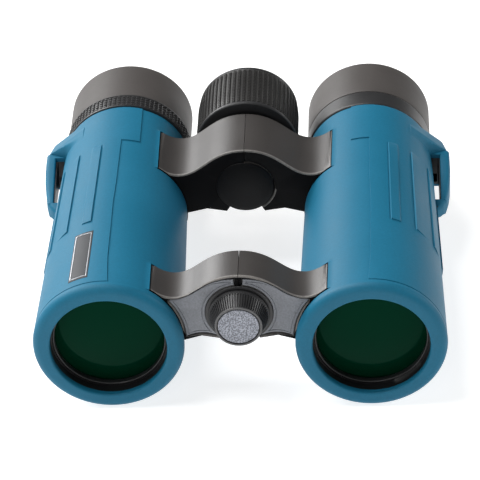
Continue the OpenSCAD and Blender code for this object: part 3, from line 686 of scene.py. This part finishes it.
def cone_patch(side, front, rear, low, high, proud, deep):
    """A patch of the barrel's cone between two lengths and two angles: its outer sheet stands proud
    of the cone by one height and its inner sheet by the other, with a small bevel."""
    inset = np.array([0.0, 0.12])
    y = np.concatenate([front + inset, np.linspace(front, rear, 12)[1:-1], rear - inset[::-1]])
    turn = inset * 1.5
    a = np.concatenate([low + turn, np.linspace(low, high, 10)[1:-1], high - turn[::-1]])
    a, y = np.meshgrid(np.radians(a), y, indexing="ij")
    border = np.zeros_like(a)
    border[[0, -1], :] = 1
    border[:, [0, -1]] = 1
    sheets = []
    for height, drop in ((proud, 0.08), (deep, 0.0)):
        sheets.append(swung(armour_r(y) + height - drop * border, a, y))
    rings = [np.concatenate([s[:, 0], s[-1, 1:], s[-2::-1, -1], s[0, -2:0:-1]]) for s in sheets]
    faces = [grid(sheet, False, False) for sheet in sheets]
    return on_barrel(joined([*faces, grid(np.stack(rings), wrap_rows=False)]), side)


# ---- relief patterns ----
def pulse(phase, share, soft):
    """A repeating flat-topped bump: 1 in the middle share of each period, sloping over soft."""
    distance = np.abs((phase % 1.0) - 0.5)
    return np.clip((share / 2 + soft - distance) / soft, 0, 1)


PIP_SOFT, ROW_SOFT = 0.12, 0.14


def bump_marks(share, soft):
    """Where one such bump rises and falls: its foot, its top's two edges and its other foot."""
    first, last = 0.5 - share / 2, 0.5 + share / 2
    return np.array([first - soft, first, last, last + soft])


def pattern_angles(count, soft, share):
    """Angles that fall on the feet and tops of count equal bumps round a turn."""
    return ((np.arange(count)[:, None] + bump_marks(share, soft)) / count * 2 * np.pi).ravel()


def row_marks(rows, first, last, row_share):
    """Lengths that fall on the feet and tops of the rows of pips."""
    marks = bump_marks(row_share, ROW_SOFT)
    return first + (np.arange(rows)[:, None] + marks).ravel() / rows * (last - first)


def patterned(outline, count, rows, first, last, depth, share, row_share):
    """A turned closed outline whose outer side, between first and last along Y, sinks by depth
    outside a lattice of pips: count round the turn and rows along it."""
    angle = pattern_angles(count, PIP_SOFT, share)[:, None]
    radius, y = outline[None, :, 0], outline[None, :, 1]
    across = pulse(angle * count / (2 * np.pi), share, PIP_SOFT)
    along = pulse((y - first) / (last - first) * rows, row_share, ROW_SOFT)
    edge = radius > outline[:, 0].max() - 1.0
    active = edge * (y > first - 1e-6) * (y < last + 1e-6)
    return grid(swung(radius - depth * active * (1 - across * along), angle, y))


# ---- operators ----
class BINOCULARS_OT_armour(bpy.types.Operator):
    """Make both barrels' armour, strap lugs and slot linings."""

    bl_idname = "binoculars.armour"
    bl_label = "Armour"

    def execute(self, context):
        sizes = context.scene.binocular_sizes
        for side, name in SIDE_NAMES.items():
            body = name + "_half"
            node = name + "_armour"
            sleeve = armour_shell(side, sizes)
            piece(node + "_sleeve", [sleeve], body, "armour", [node])
            piece(name + "_lug_bar", [lug_bar(side)], body, "armour", [node], sharp=40)
            piece(name + "_slot_lining", [slot_lining(side)], body, "plastic")
            # Painted shade: black strips in the gaps round the bridge arms' tabs.
            piece(name + "_tab_gaps", self.gaps(side), body, "front")
        return {"FINISHED"}

    def gaps(self, side):
        """Painted shade: black strips at the bottom of the narrow gap round each bridge arm's tab,
        where the gap's shadow falls.
        """
        strips = []
        tab, edge = TAB_ANGLE + 0.05, SADDLE_ANGLES[1] - 0.1
        for first, last in (FRONT_ARM, REAR_ARM):
            front, rear = first - 0.26, last + 0.26
            strips.append(cone_patch(side, front, rear, tab, edge, -0.06, -1.3))
            for ends in ((front, first - 0.02), (last + 0.02, rear)):
                strips.append(cone_patch(side, *ends, -60.0, tab, -0.06, -1.3))
        return strips


class BINOCULARS_OT_badge(bpy.types.Operator):
    """Make the curved badge plate with its inlaid border."""

    bl_idname = "binoculars.badge"
    bl_label = "Badge"

    def execute(self, context):
        plate = cone_patch(RIGHT, 6.45, 30.55, 13.8, 29.8, 0.12, -0.3)
        piece("badge_plate", [plate], "right_half", "badge", ["badge"])
        edges = (
            (7.3, 7.55, 15.6, 28.0),
            (29.45, 29.7, 15.6, 28.0),
            (7.3, 29.7, 14.9, 15.6),
            (7.3, 29.7, 28.0, 28.7),
        )
        bars = [cone_patch(RIGHT, *edge, 0.2, 0.0) for edge in edges]
        piece("badge_border", bars, "right_half", "badge_line")
        return {"FINISHED"}


# The front plate's corners about the hinge axis, and the curves between them.
PLATE_MARGIN = 1.35
PLATE_TOP = (0.08, 13.3)
PLATE_WAIST_PROUD, PLATE_WAIST_ANGLE, PLATE_WAIST_SHIFT = 1.2, -50.3, 1.5
PLATE_LOW_ANGLE, PLATE_BARREL_GAP = -91.5, 0.5
PLATE_RING_R, PLATE_CORNER_R, PLATE_CORNER_ANGLE = 10.0, 11.0, 32.6
PLATE_ARCH = 2.4


class BINOCULARS_OT_bridges(bpy.types.Operator):
    """Make the four bridge arms with rounded front edges, the front plates and the hinge's caps."""

    bl_idname = "binoculars.bridges"
    bl_label = "Bridges"

    def execute(self, context):
        # The arms' second finish paints a highlight on their upper front edges, and the third
        # paints shade on their flat fronts.
        painted_edge_and_front_finishes = {"others": ("bridge_edge", "front"), "shape": self.chamfer}
        for side, name in SIDE_NAMES.items():
            body = name + "_half"
            for arm in ("_front_arm", "_rear_arm"):
                softened(name + arm, body, "bridge", "bridge_paint", 0.12, **painted_edge_and_front_finishes)
            node = name + "_front_cover"
            plate = on_hinge(self.cover_plate(node, side))
            piece(node + "_plate", [plate], body, "cover", [node])
        softened("front_hinge_cap", "right_half", "plastic", "black_plastic", 0.3, 3)
        softened("rear_hinge_cap", "right_half", "hinge_plastic", "black_plastic", 0.35, 3)
        softened("hinge_core", "right_half", "chassis", "steel", 0.2)
        return {"FINISHED"}

    def chamfer(self, work):
        """Rounds the front edges whose side faces up, and gives them the second finish, a painted
        highlight. The flat front is cut out and filled again with triangles, in the third finish, a
        painted shade."""
        front = min(vert.co.y for vert in work.verts) + 2e-5
        edges = []
        for edge in work.edges:
            if max(vert.co.y for vert in edge.verts) > front or len(edge.link_faces) != 2:
                continue
            ahead, beside = sorted(edge.link_faces, key=lambda face: face.normal.y)
            if ahead.normal.y < -0.9 and abs(beside.normal.y) < 0.3 and beside.normal.z > 0.1:
                edges.append(edge)
        width = bpy.context.scene.binocular_sizes.arm_edge
        # The rounded upper edges take the second finish, a painted highlight.
        bmesh.ops.bevel(
            work, geom=edges, offset=width, offset_type="OFFSET", segments=2, profile=0.5,
            clamp_overlap=False, material=1, affect="EDGES",
        )
        work.normal_update()
        ahead = [face for face in work.faces if face.normal.y < -0.9]
        flat = [face for face in ahead if face.calc_center_median().y < front]
        bmesh.ops.delete(work, geom=flat, context="FACES_ONLY")
        loose = [edge for edge in work.edges if not edge.link_faces]
        bmesh.ops.delete(work, geom=loose, context="EDGES")
        rim = [edge for edge in work.edges if len(edge.link_faces) == 1]
        filled = bmesh.ops.triangle_fill(work, use_beauty=True, edges=rim, normal=(0, -1, 0))
        # The refilled flat front takes the third finish, painted shade.
        for face in filled["geom"]:
            if isinstance(face, bmesh.types.BMFace):
                face.material_index = 2
        work.normal_update()

    def plate_outline(self, inset):
        """The plate's edge about the hinge axis, an inset inside its full size: the arm's top curve
        (a cubic Bezier that leaves level and arrives level), the barrel's circle, the lower edge (a
        quadratic arch), and back round the ring at the hinge. Each curve is cut where it meets a
        circle and spread into the same number of points at every inset."""
        barrel = np.array([AXIS_X, AXIS_Z - HINGE_Z])
        barrel_cut = BARREL_R + PLATE_BARREL_GAP + inset
        ring_cut = PLATE_RING_R + inset
        margin = PLATE_MARGIN + inset
        start = np.array([PLATE_TOP[0] + margin, PLATE_TOP[1] - margin])
        waist_r = armour_r(sum(FRONT_ARM) / 2) + PLATE_WAIST_PROUD - margin
        waist = barrel + self.round_axis(waist_r, np.radians(PLATE_WAIST_ANGLE))
        waist = waist - [PLATE_WAIST_SHIFT, 0]
        reach = waist[0] - start[0]
        t = np.linspace(0, 1, 400)[:, None]
        first, second = start + [0.53 * reach, 0], np.array([start[0] + 0.66 * reach, waist[1]])
        top = start * (1 - t) ** 3 + 3 * first * t * (1 - t) ** 2
        top = top + 3 * second * t**2 * (1 - t) + waist * t**3
        low = barrel + self.round_axis(barrel_cut, np.radians(PLATE_LOW_ANGLE)) + [0.3, margin]
        turn = np.radians(PLATE_CORNER_ANGLE)
        corner = (PLATE_CORNER_R - margin) * np.array([np.sin(turn), -np.cos(turn)])
        corner = corner + [margin, 0]
        arch = (low + corner) / 2 + [0, PLATE_ARCH]
        base = low * (1 - t) ** 2 + 2 * arch * t * (1 - t) + corner * t**2
        cuts = barrel, barrel_cut, ring_cut + 0.02
        top, base = (self.outside(curve, *cuts) for curve in (top, base))
        ends = [np.arctan2(*(curve_end - barrel)) for curve_end in (top[-1], base[0])]
        side = barrel + self.round_axis(barrel_cut, np.linspace(*ends, 60)[1:-1])
        outer = np.concatenate([self.spread(top, 28), self.spread(side, 12), self.spread(base, 16)])
        inner = outer / np.linalg.norm(outer, axis=1, keepdims=True) * ring_cut
        return outer, inner

    def round_axis(self, radius, angle):
        """Points (x, z) at a radius and an angle from straight up."""
        return radius * np.stack([np.sin(angle), np.cos(angle)], axis=-1)

    def outside(self, curve, barrel, barrel_cut, ring_cut):
        """The part of a curve that lies outside both circles."""
        clear = np.linalg.norm(curve - barrel, axis=1) > barrel_cut
        return curve[clear & (np.linalg.norm(curve, axis=1) > ring_cut)]

    def spread(self, curve, count):
        """The curve as count points at equal steps along its length."""
        steps = np.append(0, np.cumsum(np.linalg.norm(np.diff(curve, axis=0), axis=1)))
        at = np.linspace(0, steps[-1], count)
        return np.stack([np.interp(at, steps, curve[:, k]) for k in (0, 1)], axis=-1)

    def cover_plate(self, node, side):
        """The plate as loops that go round its edge: up the side, over a border, down and up a
        narrow groove, and across the middle and the back as strips from outer to inner edge."""
        front, rear = behind_rim(node)
        steps = (
            (0.02, rear), (0.0, front + 0.12), (0.1, front), (0.72, front), (0.78, front + 0.22),
            (0.94, front + 0.22), (1.0, front + 0.02), (1.0, front + 0.02),
        )
        loops = []
        for inset, y in steps:
            outer, inner = self.plate_outline(inset)
            ring = np.concatenate([outer, inner[::-1]])
            loops.append(np.stack([side * ring[:, 0], y + 0 * ring[:, 0], ring[:, 1]], axis=-1))
        wall = grid(np.stack(loops[:-1]), wrap_rows=False)
        half = len(loops[0]) // 2
        strips = (np.stack([loop[:half], loop[: half - 1 : -1]]) for loop in (loops[0], loops[-1]))
        return joined([wall, *(grid(strip, False, False) for strip in strips)])


WHEEL_ROWS, WHEEL_PIP_SHARE, WHEEL_ROW_SHARE = 21, 0.46, 0.38


class BINOCULARS_OT_focus_wheel(bpy.types.Operator):
    """Make the focus wheel with its rubber pips."""

    bl_idname = "binoculars.focus_wheel"
    bl_label = "Focus wheel"

    def execute(self, context):
        sizes = context.scene.binocular_sizes
        body = "focus_wheel_group"
        first, last = behind_rim("focus_grip")
        radius = half_width("focus_grip")
        low, high = first + 0.35, last - 0.35
        marks = row_marks(WHEEL_ROWS, low, high, WHEEL_ROW_SHARE)
        crown_at = [first, first + 3, last - 4, last]
        crown = np.interp(marks, crown_at, [radius - 0.25, radius, radius, radius - 0.3])
        side = np.stack([crown, marks], axis=-1)
        rear = [(radius - 0.5, last), (radius - 1.35, last), (radius - 1.35, first)]
        outline = np.concatenate([[(radius - 0.45, first)], side, rear])
        shell = patterned(
            outline, sizes.wheel_pips, WHEEL_ROWS, low, high, sizes.wheel_pip_depth / MM,
            WHEEL_PIP_SHARE, WHEEL_ROW_SHARE,
        )
        piece("focus_grip_pips", [on_hinge(shell)], body, "grip", ["focus_grip"])
        softened("focus_wheel", body, "plastic", "black_plastic", 0.2)
        softened("focus_end_cap", body, "plastic", "black_plastic", 0.3, 3)
        return {"FINISHED"}


EYECUP_BOWL_R = 13.25
RING_ROWS, RING_PIP_SHARE, RING_ROW_SHARE = 4, 0.44, 0.42
RING_WALL = 3.7


class BINOCULARS_OT_eyepieces(bpy.types.Operator):
    """Make the eyecups, collars, dioptre ring and eye lenses."""

    bl_idname = "binoculars.eyepieces"
    bl_label = "Eyepieces"

    def execute(self, context):
        sizes = context.scene.binocular_sizes
        for side, name in SIDE_NAMES.items():
            rubber = name + "_eyecup_rubber"
            front, rear = behind_rim(rubber)
            radius = half_width(rubber)
            corners = [
                (radius - 1.05, front, 0.1),
                (radius, front, 0.35),
                (radius, rear - 0.1, 2.1),
                (radius - 3.2, rear - 0.05, 1.6),
                (EYECUP_BOWL_R + 0.15, rear - 2.4, 0.4),
                (EYECUP_BOWL_R, rear - 2.95, 0.1),
                (radius - 1.05, rear - 2.95, 0.1),
            ]
            cup = on_barrel(turned(finer(rounded(corners, steps=7), 3.0), 144), side)
            body = name + "_cup"
            piece(rubber + "_cup", [cup], body, "eyecup", [rubber])
            ocular = "right_ocular" if side == RIGHT else "left_half"
            softened(name + "_eyecup_sleeve", body, "plastic", "sleeve_plastic", 0.2)
            softened(name + "_eyepiece_tube", name + "_half", "chassis", "chassis_metal", 0.2)
            softened(name + "_ocular_cell", ocular, "chassis", "black_anodised", 0.2)
            softened(name + "_eye_lens", ocular, "glass", "coated_glass", 0.0)
        self.dioptre_ring(sizes)
        softened("left_collar", "left_half", "plastic", "black_plastic", 0.25, 3)
        return {"FINISHED"}

    def dioptre_ring(self, sizes):
        """A collar whose outer side carries rows of small oblong pips between two plain edges."""
        node = "diopter_ring"
        front, rear = behind_rim(node)
        radius = half_width(node)
        first, last = front + 0.6, rear - 0.6
        marks = row_marks(RING_ROWS, first, last, RING_ROW_SHARE)
        lead = [(radius - 0.5, front), (radius - 0.1, front + 0.15), (radius - 0.05, first - 0.05)]
        tail = [(radius - 0.05, last + 0.05), (radius - 0.1, rear - 0.15), (radius - 0.5, rear)]
        inner = [(radius - RING_WALL, rear), (radius - RING_WALL, front)]
        outline = np.array([*lead, *((radius, mark) for mark in marks), *tail, *inner])
        shell = patterned(
            outline, sizes.ring_pips, RING_ROWS, first, last, sizes.ring_pip_depth / MM,
            RING_PIP_SHARE, RING_ROW_SHARE,
        )
        ring = on_barrel(shell, RIGHT)
        piece(node + "_pips", [ring], "diopter", "plastic", [node])


class BINOCULARS_OT_objectives(bpy.types.Operator):
    """Make the objective glasses, their retainers and the visible front of the chassis."""

    bl_idname = "binoculars.objectives"
    bl_label = "Objectives"

    def execute(self, context):
        for side, name in SIDE_NAMES.items():
            body = name + "_half"
            self.glass(side, name, body)
            softened(name + "_objective_retainer", body, "plastic", "black_anodised", 0.25, 3)
            softened(name + "_chassis", body, "chassis", "chassis_metal", 0.0)
        return {"FINISHED"}

    def glass(self, side, name, body):
        """The front glass, a turned lens whose two faces bulge as the square of the radius."""
        node = name + "_objective_crown"
        front, rear = behind_rim(node)
        radius = half_width(node)
        share = np.linspace(0, 1, 16)
        face = np.stack([radius * share, front + 1.5 * share**2], axis=-1)
        back = np.stack([radius * share[::-1], rear - 1.2 * share[::-1] ** 2], axis=-1)
        shell = turned(np.concatenate([face, back]), 128, closed=False)
        lens = on_barrel(shell, side)
        piece(node + "_glass", [lens], body, "glass", [node])


RIDGE_SHARE, RIDGE_SOFT = 0.36, 0.16
CAP_BORE_R, CAP_FACE_T = 5.97, 2.4


class BINOCULARS_OT_socket_cap(bpy.types.Operator):
    """Make the ridged cap of the tripod socket, its speckled disc and the ring behind it."""

    bl_idname = "binoculars.socket_cap"
    bl_label = "Socket cap"

    def execute(self, context):
        sizes = context.scene.binocular_sizes
        front, rear = behind_rim("tripod_cap")
        radius, disc_r = half_width("tripod_cap"), half_width("tripod_cap_disc")
        nose_r = radius - 1.95
        face = [(disc_r + 0.06, 0.6), (disc_r + 0.06, 0.14), (nose_r - 0.1, 0.14), (nose_r, 0.25)]
        face = [(reach, front + y) for reach, y in [*face, (nose_r, 0.3), (nose_r + 0.1, 0.45)]]
        wall = [(0.4, 1.0), (0.33, 0.85), (0.0, 0.6), (0.0, 0.1), (0.1, 0.0)]
        wall = [(radius - reach, rear - y) for reach, y in [*wall, (radius - CAP_BORE_R, 0.0)]]
        bore = [(CAP_BORE_R, front + CAP_FACE_T), (0.0, front + CAP_FACE_T), (0.0, front + 0.6)]
        outline = np.array([*face, *wall, *bore])
        angle = pattern_angles(sizes.cap_ridges, RIDGE_SOFT, RIDGE_SHARE)[:, None]
        across = pulse(angle * sizes.cap_ridges / (2 * np.pi), RIDGE_SHARE, RIDGE_SOFT)
        reach, y = outline[None, :, 0], outline[None, :, 1]
        ridged = (y > front + 0.4) & (y < rear - 0.95) & (reach > nose_r - 0.5)
        reach = reach - sizes.cap_ridge_depth / MM * ridged * (1 - across)
        cap = on_hinge(grid(swung(reach, angle, y)))
        group = "tripod_cap_group"
        piece("tripod_cap_ridged", [cap], group, "plastic", ["tripod_cap"])
        # The ring round the disc: the flange, in a lighter grey that also paints its edge
        # highlight.
        rim = rounded(
            [
                (disc_r + 0.02, front + 0.4, 0.05),
                (disc_r + 0.02, front, 0.12),
                (nose_r - 0.02, front, 0.2),
                (nose_r - 0.02, front + 0.4, 0.05),
            ]
        )
        ring = on_hinge(turned(rim, 96))
        piece("tripod_cap_rim", [ring], group, "cap_rim")
        first, last = behind_rim("tripod_cap_disc")
        face_r = disc_r - 0.32
        face = [(0.0, first, 0), (face_r, first, 0.15), (face_r, last, 0.02), (0.0, last, 0)]
        disc = turned(finer(rounded(face, closed=False), 0.8, closed=False), 96, closed=False)
        disc = on_hinge(disc)
        piece("tripod_cap_face", [disc], group, "disc", ["tripod_cap_disc"])
        softened("tripod_insert", "right_half", "plastic", "steel", 0.15)
        softened("tripod_cap_washer", "tripod_washer", "chassis", "seal_rubber", 0.08, 1)
        return {"FINISHED"}


INSIDE_FINISHES = {
    "objective_flint": "glass",
    "focus_cell": "chassis",
    "focus_lens": "glass",
    "prism_cage": "chassis",
    "half_penta_prism": "prism",
    "roof_prism": "prism",
    "field_lens": "glass",
    "eyecup_cam_ring": "alloy",
    "bridge_screws": "steel",
    "focus_arm": "alloy",
}
LONE_FINISHES = {"front_hinge_tube": "steel", "focus_spindle": "brass", "focus_nut": "brass"}


class BINOCULARS_OT_insides(bpy.types.Operator):
    """Give the CAD parts inside the instrument their finishes."""

    bl_idname = "binoculars.insides"
    bl_label = "Insides"

    def execute(self, context):
        for name in SIDE_NAMES.values():
            for part, made in INSIDE_FINISHES.items():
                self.cover(f"{name}_{part}", made)
        for part, made in LONE_FINISHES.items():
            self.cover(part, made)
        return {"FINISHED"}

    def cover(self, node, made):
        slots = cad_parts[node].data.materials
        slots.clear()
        slots.append(finish(made))


FLOOR_HALF = 3.0
WORLD_LIT, WORLD_SEEN = 0.12, 0.95
PANEL_LIGHTS = (
    ("key", (-1.35, 1.1, 1.0), 1.2, 45.0),
    ("top", (-0.75, 0.0, 1.75), 1.0, 30.0),
    ("front", (-0.5, -1.6, 0.8), 0.9, 5.5),
    ("fill", (1.5, 0.25, 0.6), 0.6, 8.0),
)
CAMERA_PLACE = (0.03561, -0.73065, 0.54204)
CAMERA_YAW, CAMERA_PITCH, CAMERA_ROLL = -0.0512, 0.6225, -0.0387
CAMERA_LENS = 217.9


class BINOCULARS_OT_stage(bpy.types.Operator):
    """Lay the pale floor and set the soft lights and the camera."""

    bl_idname = "binoculars.stage"
    bl_label = "Stage"

    def execute(self, context):
        self.floor()
        self.lights(context.scene)
        self.camera(context.scene)
        return {"FINISHED"}

    def floor(self):
        corners = ((-1, -1), (1, -1), (1, 1), (-1, 1))
        mesh = bpy.data.meshes.new("floor")
        points = [(x * FLOOR_HALF, y * FLOOR_HALF, 0) for x, y in corners]
        mesh.from_pydata(points, [], [(0, 1, 2, 3)])
        obj = placed("floor", mesh)
        pale = Finish("pale_floor")
        cloud = pale.noise(3.0, 2.0)
        tones = [(0.0, (0.48, 0.48, 0.48)), (1.0, (0.52, 0.52, 0.52))]
        pale.set(
            Base_Color=pale.ramp(cloud, 0.3, 0.7, tones),
            Roughness=0.9,
            Emission_Color=(1.0, 1.0, 1.0, 1.0),
            Emission_Strength=0.78,
        )
        mesh.materials.append(pale.material)

    def lights(self, scene):
        """A pale backdrop that lights the object only faintly, and four square panels."""
        world = bpy.data.worlds.new("studio")
        world.use_nodes = True
        background = world.node_tree.nodes["Background"]
        background.inputs["Color"].default_value = (1.0, 1.0, 1.0, 1.0)
        path = world.node_tree.nodes.new("ShaderNodeLightPath")
        seen = world.node_tree.nodes.new("ShaderNodeMapRange")
        seen.inputs["To Min"].default_value = WORLD_LIT
        seen.inputs["To Max"].default_value = WORLD_SEEN
        world.node_tree.links.new(path.outputs["Is Camera Ray"], seen.inputs["Value"])
        world.node_tree.links.new(seen.outputs["Result"], background.inputs["Strength"])
        scene.world = world
        for name, place, size, power in PANEL_LIGHTS:
            light = bpy.data.lights.new(name, "AREA")
            light.shape = "SQUARE"
            light.size = size
            light.energy = power
            obj = placed(name, light)
            obj.location = place
            aim = Vector((0, 0, 0.02)) - Vector(place)
            obj.rotation_euler = aim.to_track_quat("-Z", "Y").to_euler()
        scene.view_settings.view_transform = "Standard"
        scene.view_settings.look = "None"

    def camera(self, scene):
        """A long lens: yaw and pitch turn the view, and roll tilts it round its own axis."""
        yaw, pitch, roll = CAMERA_YAW, CAMERA_PITCH, CAMERA_ROLL
        flat = math.cos(pitch)
        ahead = Vector((math.sin(yaw) * flat, math.cos(yaw) * flat, -math.sin(pitch)))
        level = Vector((math.cos(yaw), -math.sin(yaw), 0.0))
        upright = level.cross(ahead)
        across = level * math.cos(roll) + upright * math.sin(roll)
        up = upright * math.cos(roll) - level * math.sin(roll)
        data = bpy.data.cameras.new("camera")
        data.lens = CAMERA_LENS
        data.sensor_width = 36.0
        data.clip_start = 0.01
        obj = placed("camera", data)
        turn = Matrix((across, up, -ahead)).transposed()
        obj.matrix_world = Matrix.Translation(CAMERA_PLACE) @ turn.to_4x4()
        scene.camera = obj


class BINOCULARS_PT_panel(bpy.types.Panel):
    """Sizes, colours and the steps that build the binoculars."""

    bl_idname = "BINOCULARS_PT_panel"
    bl_label = "Binoculars"
    bl_space_type = "VIEW_3D"
    bl_region_type = "UI"
    bl_category = "Binoculars"

    def draw(self, context):
        for group in (context.scene.binocular_sizes, context.scene.binocular_colours):
            column = self.layout.column()
            for name in group.__annotations__:
                column.prop(group, name)
        for operator in OPERATORS:
            self.layout.operator(operator.bl_idname)


OPERATORS = (
    BINOCULARS_OT_armour,
    BINOCULARS_OT_badge,
    BINOCULARS_OT_bridges,
    BINOCULARS_OT_focus_wheel,
    BINOCULARS_OT_eyepieces,
    BINOCULARS_OT_objectives,
    BINOCULARS_OT_socket_cap,
    BINOCULARS_OT_insides,
    BINOCULARS_OT_stage,
)
CLASSES = (BinocularSizes, BinocularColours, *OPERATORS, BINOCULARS_PT_panel)


def register():
    for cls in CLASSES:
        bpy.utils.register_class(cls)
    bpy.types.Scene.binocular_sizes = PointerProperty(type=BinocularSizes)
    bpy.types.Scene.binocular_colours = PointerProperty(type=BinocularColours)


def unregister():
    del bpy.types.Scene.binocular_colours
    del bpy.types.Scene.binocular_sizes
    for cls in reversed(CLASSES):
        bpy.utils.unregister_class(cls)


def main():
    register()
    bpy.ops.binoculars.armour()
    bpy.ops.binoculars.badge()
    bpy.ops.binoculars.bridges()
    bpy.ops.binoculars.focus_wheel()
    bpy.ops.binoculars.eyepieces()
    bpy.ops.binoculars.objectives()
    bpy.ops.binoculars.socket_cap()
    bpy.ops.binoculars.insides()
    bpy.ops.binoculars.stage()


if __name__ == "__main__":
    main()
